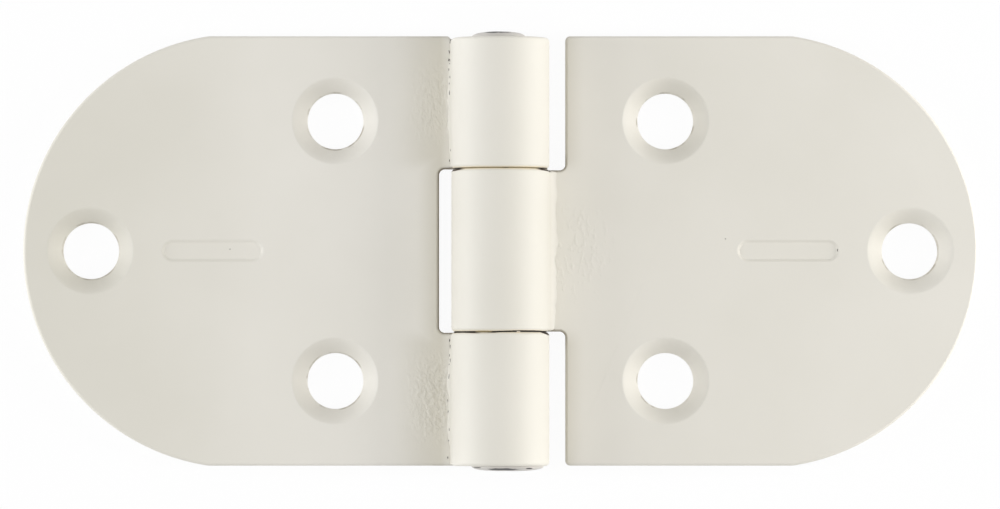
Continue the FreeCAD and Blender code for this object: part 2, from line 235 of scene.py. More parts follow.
def rimShadeStretches(tree, at):
    flat = addNode(tree, "ShaderNodeCombineXYZ", None, {"X": at["aside"], "Y": at["along"]})
    fromHole = 1.0
    for across, up in hinge["holes"]:
        apart = addNode(tree, "ShaderNodeVectorMath", {"operation": "DISTANCE"},
                        {0: flat, 1: (across, up, 0.0)})
        fromHole = addNode(tree, "ShaderNodeMath", {"operation": "MINIMUM"}, {0: apart, 1: fromHole})
    onRim = addNode(tree, "ShaderNodeMapRange", None,
                    {"Value": fromHole, "From Min": hinge["holeRadius"] + enamel["rimShadeWidth"][0],
                     "From Max": hinge["holeRadius"] + enamel["rimShadeWidth"][1]})
    stretch = addNode(tree, "ShaderNodeMapRange", None,
                      {"Value": at["scuffs"], "From Min": enamel["rimShadeStretch"][0],
                       "From Max": enamel["rimShadeStretch"][1]})
    return allOf(tree, onRim, stretch)


def barrelOnly(tree, at):
    lift = addNode(tree, "ShaderNodeMath", {"operation": "SUBTRACT"},
                   {0: at["z"], 1: hinge["pinHeight"]})
    fromPin = addNode(tree, "ShaderNodeCombineXYZ", None, {"X": at["x"], "Z": lift})
    reach = addNode(tree, "ShaderNodeVectorMath", {"operation": "LENGTH"}, {0: fromPin})
    return addNode(tree, "ShaderNodeMapRange", None,
                   {"Value": reach, "From Min": enamel["onBarrel"][0],
                    "From Max": enamel["onBarrel"][1]})


def gapLips(tree, at, barrel):
    ragged = addNode(tree, "ShaderNodeMath", {"operation": "MULTIPLY_ADD"},
                     {0: at["scuffs"], 1: enamel["lipRagged"],
                      2: howFar(tree, at["along"], hinge["joint"])})
    lips = addNode(tree, "ShaderNodeMapRange", None,
                   {"Value": ragged, "From Min": enamel["lips"][0], "From Max": enamel["lips"][1]})
    return allOf(tree, lips, barrel)


# dirt creeps from lip to lip along the lower gap; painted shade darkens the ends of both gaps
def gapDirtAndShade(tree, at, barrel):
    spot = addNode(tree, "ShaderNodeMapRange", None,
                   {"Value": at["x"], "From Min": -hinge["barrelRadius"],
                    "From Max": hinge["barrelRadius"]})
    creep = addNode(tree, "ShaderNodeFloatCurve", None, {"Value": spot})
    shapeCurve(creep, [(0.5 + 0.5 * across * mm / hinge["barrelRadius"],
                        0.5 + 0.5 * away * mm / enamel["creepMost"])
                       for across, away in enamel["creep"]])
    lowerLine = addNode(tree, "ShaderNodeMapRange", None,
                        {"Value": creep, "To Min": -enamel["creepMost"], "To Max": enamel["creepMost"]})
    upperLine = addNode(tree, "ShaderNodeMapRange", None,
                        {"Value": at["aside"], "From Min": enamel["dip"][0],
                         "From Max": enamel["dip"][1], "To Max": enamel["dip"][2]})
    below = addNode(tree, "ShaderNodeMath", {"operation": "LESS_THAN"}, {0: at["y"], 1: 0.0})
    line = addNode(tree, "ShaderNodeMix", {"data_type": "FLOAT"},
                   {0: below, 2: upperLine, 3: lowerLine})
    pastGap = addNode(tree, "ShaderNodeMath", {"operation": "SUBTRACT"},
                      {0: at["along"], 1: hinge["joint"]})
    ragged = addNode(tree, "ShaderNodeMath", {"operation": "MULTIPLY_ADD"},
                     {0: at["scuffs"], 1: enamel["lineRagged"], 2: howFar(tree, pastGap, line)})
    onLine = addNode(tree, "ShaderNodeMapRange", None,
                     {"Value": ragged, "From Min": enamel["line"][0], "From Max": enamel["line"][1]})

    # painted shadow in a fan at the right end of the lower gap
    width = addNode(tree, "ShaderNodeMapRange", None,
                    {"Value": at["x"], "From Min": enamel["shadowWedge"][0],
                     "From Max": enamel["shadowWedge"][1], "To Max": enamel["shadowWedge"][2]})
    within = addNode(tree, "ShaderNodeMath", {"operation": "LESS_THAN"}, {0: pastGap, 1: width})
    outside = addNode(tree, "ShaderNodeMath", {"operation": "GREATER_THAN"}, {0: pastGap, 1: 0.0})
    both = addNode(tree, "ShaderNodeMath", {"operation": "MAXIMUM"},
                   {0: onLine, 1: allOf(tree, within, outside, below)})

    # less of it where the oil stayed clean, none along the middle of the upper gap
    soiled = addNode(tree, "ShaderNodeMapRange", None,
                     {"Value": howFar(tree, at["x"], hinge["gold"]),
                      "From Min": enamel["cleaner"][0], "From Max": enamel["cleaner"][1],
                      "To Min": enamel["cleaner"][2]})
    ends = addNode(tree, "ShaderNodeMapRange", None,
                   {"Value": at["aside"], "From Min": enamel["ends"][0],
                    "From Max": enamel["ends"][1]})
    darkened = addNode(tree, "ShaderNodeMath", {"operation": "MAXIMUM"},
                    {0: allOf(tree, below, soiled), 1: ends})
    return allOf(tree, both, barrel, darkened)


def stovingEnamel():
    material, tree, shader, place = newMaterial("stoving_enamel_cream")
    axes = addNode(tree, "ShaderNodeSeparateXYZ", None, {"Vector": place}).outputs
    at = {
        "x": axes["X"], "y": axes["Y"], "z": axes["Z"],
        "aside": addNode(tree, "ShaderNodeMath", {"operation": "ABSOLUTE"}, {0: axes["X"]}),
        "along": addNode(tree, "ShaderNodeMath", {"operation": "ABSOLUTE"}, {0: axes["Y"]}),
        "clouds": addNode(tree, "ShaderNodeTexNoise", None,
                          {"Vector": place, "Scale": 1 / enamel["cloud"], "Detail": 3.0}),
        "scuffs": addNode(tree, "ShaderNodeTexNoise", None,
                          {"Vector": place, "Scale": 1 / enamel["scuff"], "Detail": 4.0}),
    }
    barrel = barrelOnly(tree, at)
    colour = layColours(tree, sprayedAndShadedCoat(tree, at), [
        (creaseShadeBands(tree, at), enamel["creaseShade"]), (shearedEdges(tree, at), enamel["sheared"]),
        (rimShadeStretches(tree, at), enamel["rim"]), (gapLips(tree, at, barrel), enamel["paleLip"]),
        (gapDirtAndShade(tree, at, barrel), enamel["dirtAndShade"])])

    # satin gloss that changes a little with the clouds, over orange peel
    thinCloud, thickCloud, smooth, rough = enamel["gloss"]
    gloss = addNode(tree, "ShaderNodeMapRange", None,
                    {"Value": at["clouds"], "From Min": thinCloud, "From Max": thickCloud,
                     "To Min": smooth, "To Max": rough})
    peel = addNode(tree, "ShaderNodeTexNoise", None,
                   {"Vector": place, "Scale": 1 / enamel["peel"], "Detail": 2.0})
    bump = addNode(tree, "ShaderNodeBump", None,
                   {"Strength": enamel["peelStrength"], "Distance": enamel["peelDepth"],
                    "Height": peel})
    feed(tree, shader, {"Base Color": colour, "Roughness": gloss, "Normal": bump,
                        "Specular IOR Level": enamel["shine"]})
    return material


# Peened pin end: mild steel hammered over and thinly painted. The eye sees a pale grey skin
# with black chips where the hammer and wear broke it near the crown.
peened = {
    "skin": "#C8C4BE",
    "steel": "#14110F",
    # across, along the pin and above its axis, then the half sizes the same ways, in millimetres
    "chips": [
        (-0.25, 18.2, 1.25, 1.1, 0.2, 0.85), (0.12, -18.27, 2.5, 1.25, 0.09, 1.2),
        (2.4, -18.2, 2.3, 0.27, 0.05, 1.0), (-2.0, -18.14, 1.5, 0.4, 0.04, 1.0)],
    "chipEdge": (1.65, 1.35),  # share of the half sizes plus the noise, from paint to steel
    "scratch": 0.5 * mm,
    "scratchDepth": 0.02 * mm,
    "scratchStrength": 0.5,
    "gloss": (0.4, 0.6),
}


def peenedSteel():
    material, tree, shader, place = newMaterial("peened_steel_thin_paint")
    scratches = addNode(tree, "ShaderNodeTexNoise", None,
                        {"Vector": place, "Scale": 1 / peened["scratch"], "Detail": 4.0})
    chipped = 0.0
    for chip in peened["chips"]:
        middle = Vector(chip[:3]) * mm + Vector((0, 0, hinge["pinHeight"]))
        off = addNode(tree, "ShaderNodeVectorMath", {"operation": "SUBTRACT"}, {0: place, 1: middle})
        share = addNode(tree, "ShaderNodeVectorMath", {"operation": "DIVIDE"},
                        {0: off, 1: Vector(chip[3:]) * mm})
        apart = addNode(tree, "ShaderNodeVectorMath", {"operation": "LENGTH"}, {0: share})
        ragged = addNode(tree, "ShaderNodeMath", {"operation": "ADD"}, {0: apart, 1: scratches})
        broken = addNode(tree, "ShaderNodeMapRange", None,
                         {"Value": ragged, "From Min": peened["chipEdge"][0],
                          "From Max": peened["chipEdge"][1]})
        chipped = addNode(tree, "ShaderNodeMath", {"operation": "MAXIMUM"}, {0: chipped, 1: broken})
    colour = layColours(tree, linear(peened["skin"]), [(chipped, peened["steel"])])
    gloss = addNode(tree, "ShaderNodeMapRange", None,
                    {"Value": scratches, "To Min": peened["gloss"][0], "To Max": peened["gloss"][1]})
    bump = addNode(tree, "ShaderNodeBump", None,
                   {"Strength": peened["scratchStrength"], "Distance": peened["scratchDepth"],
                    "Height": scratches})
    feed(tree, shader, {"Base Color": colour, "Roughness": gloss, "Normal": bump})
    return material


# Gap grime and painted shade: dried oil, primer dust and dirt between the knuckles, whose black
# also stands in for the shade deep in the gaps. The eye sees a golden brown thread in the upper
# gap and a black one in the lower, each with patches of the other.
dirtAndShade = {
    "oil": "#9C8A5C",
    # black: dirt, and painted shade deep in the gaps
    "black": "#120C08",
    "drop": "#FBEFE0",  # the drop of paint across the lower gap
    "dropWidth": (0.16 * mm, 0.13 * mm),
    "patch": 1.1 * mm,
    "blackFrom": (0.46, 0.64),  # noise and what is added to it, from oil to black
    "ends": (3.0 * mm, 3.6 * mm, 0.6),  # painted shade: both threads go dark towards their ends, by so much
    "upper": -0.1,  # cleaner
    "lower": 0.22,  # dirtier
    "turnover": 1 * mm,  # from one to the other, to each side of the middle
    "clean": (0.3 * mm, 0.9 * mm, -0.8),  # by the stretch of clean oil
    "gloss": (0.5, 0.85),
}


def driedOilAndGapShade():
    material, tree, shader, place = newMaterial("dried_oil_dust_and_gap_shade")
    axes = addNode(tree, "ShaderNodeSeparateXYZ", None, {"Vector": place}).outputs
    patches = addNode(tree, "ShaderNodeTexNoise", None,
                      {"Vector": place, "Scale": 1 / dirtAndShade["patch"], "Detail": 2.0})
    start, full, most = dirtAndShade["ends"]
    ends = addNode(tree, "ShaderNodeMapRange", None,
                   {"Value": howFar(tree, axes["X"], 0.0), "From Min": start, "From Max": full,
                    "To Max": most})
    thread = addNode(tree, "ShaderNodeMapRange", None,
                     {"Value": axes["Y"], "From Min": dirtAndShade["turnover"], "From Max": -dirtAndShade["turnover"],
                      "To Min": dirtAndShade["upper"], "To Max": dirtAndShade["lower"]})
    start, full, most = dirtAndShade["clean"]
    clean = addNode(tree, "ShaderNodeMapRange", None,
                    {"Value": howFar(tree, axes["X"], hinge["gold"]), "From Min": start,
                     "From Max": full, "To Min": most, "To Max": 0.0})
    cover = patches
    for soil in (ends, thread, clean):
        cover = addNode(tree, "ShaderNodeMath", {"operation": "ADD"}, {0: cover, 1: soil})
    blackness = addNode(tree, "ShaderNodeMapRange", None,
                        {"Value": cover, "From Min": dirtAndShade["blackFrom"][0],
                         "From Max": dirtAndShade["blackFrom"][1]})
    inDrop = addNode(tree, "ShaderNodeMapRange", None,
                     {"Value": howFar(tree, axes["X"], hinge["drop"]),
                      "From Min": dirtAndShade["dropWidth"][0], "From Max": dirtAndShade["dropWidth"][1]})
    below = addNode(tree, "ShaderNodeMath", {"operation": "LESS_THAN"}, {0: axes["Y"], 1: 0.0})
    colour = layColours(tree, linear(dirtAndShade["oil"]), [
        (blackness, dirtAndShade["black"]), (allOf(tree, inDrop, below), dirtAndShade["drop"])])
    gloss = addNode(tree, "ShaderNodeMapRange", None,
                    {"Value": patches, "To Min": dirtAndShade["gloss"][0], "To Max": dirtAndShade["gloss"][1]})
    feed(tree, shader, {"Base Color": colour, "Roughness": gloss})
    return material


enamelPaint = stovingEnamel()
pinSteel = peenedSteel()
gapGrimeAndShade = driedOilAndGapShade()
print("materials ready")


def link(name, data):
    piece = bpy.data.objects.new(name, data)
    bpy.context.scene.collection.objects.link(piece)
    return piece


def settle(piece):
    graph = bpy.context.evaluated_depsgraph_get()
    mesh = bpy.data.meshes.new_from_object(piece.evaluated_get(graph), depsgraph=graph,
                                           preserve_all_data_layers=True)
    piece.modifiers.clear()
    piece.data = mesh
    return piece


# the two leaves: the stampings with their bevels rolled round by the coat of paint
leaf = {
    "merge": 0.002 * mm,
    "flat": math.radians(0.5),  # triangles flatter than this become one face
    "roll": 0.11 * mm,
    "rollSteps": 3,
    "rollFrom": math.radians(28),
    "knuckle": 4.35 * mm,  # the knuckles end short of this, across
    "film": 0.03 * mm,  # coat on the knuckle ends, which narrows the gaps
    "nearGap": 0.07 * mm,  # the knuckle ends are this near the middle of a gap
    "drawnTo": 4.15 * mm,  # the upper knuckle's end drew in as it was rolled
    "drawnBy": 0.25 * mm,
    "drawnPart": 0.5 * mm,  # of the end, along the pin
    "faceWeight": 80,
}


def drawEndIn(build):
    for reach in (leaf["knuckle"], leaf["drawnTo"]):
        bmesh.ops.bisect_plane(build, geom=build.verts[:] + build.edges[:] + build.faces[:],
                               plane_co=(-reach, 0, 0), plane_no=(1, 0, 0))
    for vert in build.verts:
        rolled = vert.co.x > -leaf["drawnTo"] - leaf["merge"]
        if rolled and vert.co.y > hinge["end"] - leaf["drawnPart"]:
            vert.co.y -= leaf["drawnBy"]


def paintedLeaf(node, name, body):
    mesh = frame["nodes"][node].data.copy()
    build = bmesh.new()
    build.from_mesh(mesh)
    bmesh.ops.remove_doubles(build, verts=build.verts, dist=leaf["merge"])
    bmesh.ops.dissolve_limit(build, angle_limit=leaf["flat"], verts=build.verts,
                             edges=build.edges, use_dissolve_boundaries=False)
    for vert in build.verts:
        beyond = abs(vert.co.y) - hinge["joint"]
        if abs(beyond) < leaf["nearGap"] and abs(vert.co.x) < leaf["knuckle"]:
            vert.co.y -= math.copysign(leaf["film"], beyond * vert.co.y)
    if body == "fixed_leaf":
        drawEndIn(build)
    for face in build.faces:
        face.smooth = True
    build.to_mesh(mesh)
    build.free()
    carriedNormals = mesh.attributes.get("custom_normal")
    if carriedNormals:
        mesh.attributes.remove(carriedNormals)
    mesh.materials.clear()
    mesh.materials.append(enamelPaint)
    piece = link(name, mesh)
    roll = piece.modifiers.new("roll", "BEVEL")
    roll.width = leaf["roll"]
    roll.segments = leaf["rollSteps"]
    roll.limit_method = "ANGLE"
    roll.angle_limit = leaf["rollFrom"]
    soften = piece.modifiers.new("soften", "WEIGHTED_NORMAL")
    soften.weight = leaf["faceWeight"]
    settle(piece)
    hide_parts(node)
    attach(piece, body)
    print(name, len(piece.data.polygons), "faces")
    return piece


twoKnuckle = paintedLeaf("two_knuckle_leaf", "two_knuckle_leaf_painted", "fixed_leaf")
oneKnuckle = paintedLeaf("one_knuckle_leaf", "one_knuckle_leaf_painted", "swinging_leaf")


def newTree(name, sockets):
    tree = bpy.data.node_groups.new(name, "GeometryNodeTree")
    for label, kind in sockets:
        tree.interface.new_socket(label, in_out="INPUT", socket_type="NodeSocket" + kind)
    tree.interface.new_socket("Geometry", in_out="OUTPUT", socket_type="NodeSocketGeometry")
    return tree, addNode(tree, "NodeGroupInput").outputs


def closeTree(tree, geometry, material):
    real = addNode(tree, "GeometryNodeRealizeInstances", None, {"Geometry": geometry})
    smooth = addNode(tree, "GeometryNodeSetShadeSmooth", None, {"Geometry": real})
    painted = addNode(tree, "GeometryNodeSetMaterial", None, {"Geometry": smooth, "Material": material})
    addNode(tree, "NodeGroupOutput", None, {"Geometry": painted})


weld = 0.0005 * mm  # corners this near each other become one


# gives a sheet of faces a thickness, turns it outwards and closes it
def closeSkin(tree, geometry, side, thickness, material):
    mirrored = addNode(tree, "FunctionNodeCompare", {"operation": "LESS_THAN"}, {0: side, 1: 0.0})
    outward = addNode(tree, "GeometryNodeFlipFaces", None, {"Mesh": geometry, "Selection": mirrored})
    front = addNode(tree, "GeometryNodeExtrudeMesh", {"mode": "FACES"},
                    {"Mesh": outward, "Offset Scale": thickness, "Individual": False})
    rear = addNode(tree, "GeometryNodeFlipFaces", None, {"Mesh": outward})
    both = addNode(tree, "GeometryNodeJoinGeometry")
    for half in (front, rear):
        feed(tree, both, {0: half})
    shut = addNode(tree, "GeometryNodeMergeByDistance", None, {"Geometry": both, "Distance": weld})
    closeTree(tree, shut, material)


def grow(piece, tree, values):
    modifier = piece.modifiers.new(tree.name, "NODES")
    modifier.node_group = tree
    for item in tree.interface.items_tree:
        if item.in_out == "INPUT" and item.name in values:
            modifier[item.identifier] = values[item.name]
    return settle(piece)


# one painted piece from several runs of the same tree
def growPatches(name, tree, patches, body):
    build = bmesh.new()
    for patch in patches:
        part = link(name + "_patch", bpy.data.meshes.new(name + "_patch"))
        grow(part, tree, {**patch, "Material": enamelPaint})
        build.from_mesh(part.data)
        bpy.data.objects.remove(part)
    mesh = bpy.data.meshes.new(name)
    build.to_mesh(mesh)
    build.free()
    mesh.materials.append(enamelPaint)
    piece = link(name, mesh)
    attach(piece, body)
    print(name, len(mesh.polygons), "faces")


# paint that ran into the corner between a knuckle and its leaf and set there as a hollow fillet
# with a wavy toe
bead = {
    "grid": (14, 170),
    "steps": 32,
    "top": (-0.12 * mm, 0, 3.6 * mm),  # across from the knuckle's flank, along, above the back face
    "topPull": (-0.02 * mm, 0, 2.5 * mm),
    "toeSunk": 0.07 * mm,
    "wander": (0.3, 0.7),  # of the noise that moves the toe
    "endsLeft": 0.25,  # share of the reach that is left at the ends
    "upper": {"Side": -1.0, "First": 7.0 * mm, "Last": 17.62 * mm, "Reach": 0.32 * mm, "Bend": 0.6,
              "Crown": 0.08 * mm, "Waviness": 0.35, "Ripple": 1.7 * mm, "Taper": 3.5 * mm,
              "Seed": 3.1, "Skin": 0.04 * mm},
}
bead["lower"] = {**bead["upper"], "First": -17.88 * mm, "Last": -7.0 * mm, "Reach": 0.34 * mm}
bead["middle"] = {**bead["upper"], "Side": 1.0, "First": -6.68 * mm, "Last": 6.68 * mm,
                  "Reach": 0.62 * mm, "Bend": 0.3, "Crown": 0.0, "Waviness": 0.5,
                  "Ripple": 3.2 * mm, "Taper": 0.1 * mm, "Seed": 8.4}


def beadTree():
    tree, given = newTree("crease_bead", [
        ("Side", "Float"), ("First", "Float"), ("Last", "Float"), ("Reach", "Float"),
        ("Bend", "Float"), ("Crown", "Float"), ("Waviness", "Float"), ("Ripple", "Float"),
        ("Taper", "Float"), ("Seed", "Float"), ("Skin", "Float"), ("Material", "Material")])
    strip = addNode(tree, "GeometryNodeMeshGrid", None,
                    {"Size X": 1.0, "Size Y": 1.0, "Vertices X": bead["grid"][0],
                     "Vertices Y": bead["grid"][1]})
    here = addNode(tree, "ShaderNodeSeparateXYZ", None,
                   {0: addNode(tree, "GeometryNodeInputPosition")}).outputs
    along = addNode(tree, "ShaderNodeMapRange", None,
                    {"Value": here["Y"], "From Min": -0.5, "From Max": 0.5,
                     "To Min": given["First"], "To Max": given["Last"]})

    # section: down the flank of the knuckle, round, and out along the leaf
    flank = hinge["barrelRadius"]
    toe = addNode(tree, "ShaderNodeMath", {"operation": "ADD"}, {0: given["Reach"], 1: flank})
    toeAt = addNode(tree, "ShaderNodeCombineXYZ", None,
                    {"X": toe, "Z": hinge["sheet"] - bead["toeSunk"]})
    bend = addNode(tree, "ShaderNodeMath", {"operation": "MULTIPLY_ADD"},
                   {0: given["Reach"], 1: given["Bend"], 2: flank})
    crown = addNode(tree, "ShaderNodeMath", {"operation": "ADD"},
                    {0: given["Crown"], 1: hinge["sheet"]})
    bendAt = addNode(tree, "ShaderNodeCombineXYZ", None, {"X": bend, "Z": crown})
    onFlank = Vector((flank, 0, 0))
    section = addNode(tree, "GeometryNodeCurvePrimitiveBezierSegment", None,
                      {"Resolution": bead["steps"], "Start": onFlank + Vector(bead["top"]),
                       "Start Handle": onFlank + Vector(bead["topPull"]),
                       "End Handle": bendAt, "End": toeAt})
    share = addNode(tree, "ShaderNodeMath", {"operation": "ADD"}, {0: here["X"], 1: 0.5})
    on = addNode(tree, "GeometryNodeSampleCurve", {"mode": "FACTOR"},
                 {"Curves": section, "Factor": share})
    spot = addNode(tree, "ShaderNodeSeparateXYZ", None, {0: on.outputs["Position"]}).outputs

    # the toe wanders in and out along the run and draws in at its ends
    ripple = addNode(tree, "ShaderNodeMath", {"operation": "DIVIDE"}, {0: along, 1: given["Ripple"]})
    strand = addNode(tree, "ShaderNodeCombineXYZ", None, {"X": given["Seed"], "Y": ripple})
    wander = addNode(tree, "ShaderNodeTexNoise", None, {"Vector": strand, "Scale": 1.0, "Detail": 3.0})
    low = addNode(tree, "ShaderNodeMath", {"operation": "SUBTRACT"}, {0: 1.0, 1: given["Waviness"]})
    high = addNode(tree, "ShaderNodeMath", {"operation": "ADD"}, {0: 1.0, 1: given["Waviness"]})
    spread = addNode(tree, "ShaderNodeMapRange", None,
                     {"Value": wander, "From Min": bead["wander"][0], "From Max": bead["wander"][1],
                      "To Min": low, "To Max": high})
    for name in ("First", "Last"):
        drawn = addNode(tree, "ShaderNodeMapRange", {"interpolation_type": "SMOOTHSTEP"},
                        {"Value": howFar(tree, along, given[name]), "From Max": given["Taper"],
                         "To Min": bead["endsLeft"]})
        spread = addNode(tree, "ShaderNodeMath", {"operation": "MULTIPLY"}, {0: spread, 1: drawn})
    past = addNode(tree, "ShaderNodeMath", {"operation": "SUBTRACT"}, {0: spot["X"], 1: flank})
    beyond = addNode(tree, "ShaderNodeMath", {"operation": "MAXIMUM"}, {0: past, 1: 0.0})
    within = addNode(tree, "ShaderNodeMath", {"operation": "SUBTRACT"}, {0: spot["X"], 1: beyond})
    wide = addNode(tree, "ShaderNodeMath", {"operation": "MULTIPLY_ADD"},
                   {0: beyond, 1: spread, 2: within})
    across = addNode(tree, "ShaderNodeMath", {"operation": "MULTIPLY"}, {0: wide, 1: given["Side"]})
    at = addNode(tree, "ShaderNodeCombineXYZ", None, {"X": across, "Y": along, "Z": spot["Z"]})
    bent = addNode(tree, "GeometryNodeSetPosition", None, {"Geometry": strip, "Position": at})
    closeSkin(tree, bent, given["Side"], given["Skin"], given["Material"])
    return tree


creaseBead = beadTree()
growPatches("two_knuckle_leaf_paint_bead", creaseBead, (bead["upper"], bead["lower"]), "fixed_leaf")
growPatches("one_knuckle_leaf_paint_bead", creaseBead, (bead["middle"],), "swinging_leaf")

# spray that dried lumpy beside the knuckles: a skin some hundredths of a millimetre proud, sinking
# into the leaf at its outer edges
skin = {
    "grid": (96, 180),
    "thickness": 0.04 * mm,
    "sunk": -0.006 * mm,  # at the outer edges
    "detail": 3.0,
    "roughness": 0.75,
    "fadeAcross": (0.5, -0.15),  # share of the patch from its middle, from none to full
    "fadeAlong": (0.5, 0.1),
    "lower": {"Side": -1.0, "Near": 4.2 * mm, "Far": 8.8 * mm, "Top": -7.2 * mm,
              "Bottom": -17.6 * mm, "Grain": 0.27 * mm, "Stretch": 1.5, "Height": 0.38 * mm,
              "Cover": 0.42, "Seed": 5.0},
    "upper": {"Side": -1.0, "Near": 4.2 * mm, "Far": 8.6 * mm, "Top": 17.4 * mm,
              "Bottom": 7.2 * mm, "Grain": 0.36 * mm, "Stretch": 1.9, "Height": 0.22 * mm,
              "Cover": 0.45, "Seed": 9.0},
    "middle": {"Side": 1.0, "Near": 4.5 * mm, "Far": 11.0 * mm, "Top": 6.6 * mm,
               "Bottom": -6.6 * mm, "Grain": 0.36 * mm, "Stretch": 1.9, "Height": 0.24 * mm,
               "Cover": 0.52, "Seed": 12.0},
}


def skinTree():
    tree, given = newTree("lumpy_skin", [
        ("Side", "Float"), ("Near", "Float"), ("Far", "Float"), ("Top", "Float"),
        ("Bottom", "Float"), ("Grain", "Float"), ("Stretch", "Float"), ("Height", "Float"),
        ("Cover", "Float"), ("Seed", "Float"), ("Material", "Material")])
    grid = addNode(tree, "GeometryNodeMeshGrid", None,
                   {"Size X": 1.0, "Size Y": 1.0, "Vertices X": skin["grid"][0],
                    "Vertices Y": skin["grid"][1]})
    here = addNode(tree, "ShaderNodeSeparateXYZ", None,
                   {0: addNode(tree, "GeometryNodeInputPosition")}).outputs
    away = addNode(tree, "ShaderNodeMapRange", None,
                   {"Value": here["X"], "From Min": -0.5, "From Max": 0.5,
                    "To Min": given["Near"], "To Max": given["Far"]})
    across = addNode(tree, "ShaderNodeMath", {"operation": "MULTIPLY"}, {0: away, 1: given["Side"]})
    along = addNode(tree, "ShaderNodeMapRange", None,
                    {"Value": here["Y"], "From Min": -0.5, "From Max": 0.5,
                     "To Min": given["Bottom"], "To Max": given["Top"]})

    # lumps drawn out along the pin, dying away from the knuckles and at both ends
    drawnOut = addNode(tree, "ShaderNodeMath", {"operation": "DIVIDE"}, {0: along, 1: given["Stretch"]})
    spread = addNode(tree, "ShaderNodeCombineXYZ", None, {"X": across, "Y": drawnOut})
    fineness = addNode(tree, "ShaderNodeMath", {"operation": "DIVIDE"}, {0: 1.0, 1: given["Grain"]})
    lumps = addNode(tree, "ShaderNodeTexNoise", {"noise_dimensions": "4D"},
                    {"Vector": spread, "W": given["Seed"], "Scale": fineness,
                     "Detail": skin["detail"], "Roughness": skin["roughness"]})
    proud = addNode(tree, "ShaderNodeMath", {"operation": "SUBTRACT"}, {0: lumps, 1: given["Cover"]})
    outward = addNode(tree, "ShaderNodeMapRange", {"interpolation_type": "SMOOTHSTEP"},
                      {"Value": here["X"], "From Min": skin["fadeAcross"][0],
                       "From Max": skin["fadeAcross"][1]})
    ending = addNode(tree, "ShaderNodeMapRange", {"interpolation_type": "SMOOTHSTEP"},
                     {"Value": howFar(tree, here["Y"], 0.0), "From Min": skin["fadeAlong"][0],
                      "From Max": skin["fadeAlong"][1]})
    fade = allOf(tree, outward, ending)
    tall = addNode(tree, "ShaderNodeMath", {"operation": "MULTIPLY"}, {0: fade, 1: given["Height"]})
    sunk = addNode(tree, "ShaderNodeMapRange", None,
                   {"Value": fade, "To Min": skin["sunk"], "To Max": 0.0})
    rise = addNode(tree, "ShaderNodeMath", {"operation": "MULTIPLY_ADD"}, {0: proud, 1: tall, 2: sunk})
    level = addNode(tree, "ShaderNodeMath", {"operation": "ADD"},
                    {0: rise, 1: hinge["sheet"] - skin["thickness"]})
    at = addNode(tree, "ShaderNodeCombineXYZ", None, {"X": across, "Y": along, "Z": level})
    bent = addNode(tree, "GeometryNodeSetPosition", None, {"Geometry": grid, "Position": at})
    closeSkin(tree, bent, given["Side"], skin["thickness"], given["Material"])
    return tree


lumpySkin = skinTree()
growPatches("two_knuckle_leaf_paint_skin", lumpySkin, (skin["lower"], skin["upper"]), "fixed_leaf")
growPatches("one_knuckle_leaf_paint_skin", lumpySkin, (skin["middle"],), "swinging_leaf")

# hinge pin: straight shank, both ends hammered over into low uneven domes
pin = {
    "shank": 2.0 * mm, "rim": 0.1 * mm, "steps": 72, "rings": 9,
    "dent": 0.05 * mm, "dentSize": 1.1 * mm, "dentStretch": 3, "faceWeight": 60,
    "upper": {"seat": hinge["end"] - leaf["drawnBy"], "head": 2.25 * mm, "rise": 0.54 * mm,
              "aside": -0.15 * mm},
    "lower": {"seat": hinge["end"], "head": 3.0 * mm, "rise": 0.45 * mm, "aside": 0.6 * mm},
}


def endProfile(end):
    points = []
    for i in range(pin["rings"] + 1):  # crown to rim, flattened by the hammer
        share = math.sin(i / pin["rings"] * math.pi / 2)
        proud = (end["rise"] - pin["rim"]) * math.sqrt(max(0.0, 1 - share ** 3))
        points.append((end["head"] * share, end["seat"] + pin["rim"] + proud))
    points.append((end["head"], end["seat"]))
    points.append((pin["shank"], end["seat"]))
    return points


def hammeredPin():
    build = bmesh.new()
    rings = []
    for end, sign in ((pin["upper"], 1), (pin["lower"], -1)):
        for radius, along in endProfile(end)[::sign]:
            ring = []
            proud = max(0.0, along - end["seat"])
            for i in range(pin["steps"] if radius > 0 else 1):
                turn = 2 * math.pi * i / pin["steps"]
                spot = Vector((radius * math.cos(turn), sign * along, radius * math.sin(turn)))
                struck = Vector((spot.x, spot.y * pin["dentStretch"], spot.z)) / pin["dentSize"]
                spot.y -= sign * min(pin["dent"] * (0.5 + 0.5 * noise.noise(struck)), proud)
                if radius != pin["shank"]:
                    spot.x += end["aside"]
                spot.z += hinge["pinHeight"]
                ring.append(build.verts.new(spot))
            rings.append(ring)
    for one, two in zip(rings, rings[1:]):
        for i in range(pin["steps"]):
            j = (i + 1) % pin["steps"]
            if len(one) == 1:
                build.faces.new((one[0], two[j], two[i]))
            elif len(two) == 1:
                build.faces.new((one[i], one[j], two[0]))
            else:
                build.faces.new((one[i], one[j], two[j], two[i]))
    bmesh.ops.recalc_face_normals(build, faces=build.faces)
    for face in build.faces:
        face.smooth = True
    mesh = bpy.data.meshes.new("hinge_pin_peened")
    build.to_mesh(mesh)
    build.free()
    mesh.materials.append(pinSteel)
    piece = link("hinge_pin_peened", mesh)
    soften = piece.modifiers.new("soften", "WEIGHTED_NORMAL")
    soften.weight = pin["faceWeight"]
    settle(piece)
    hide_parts("hinge_pin")
    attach(piece, "fixed_leaf")
    print("hinge_pin_peened", len(piece.data.polygons), "faces")


hammeredPin()

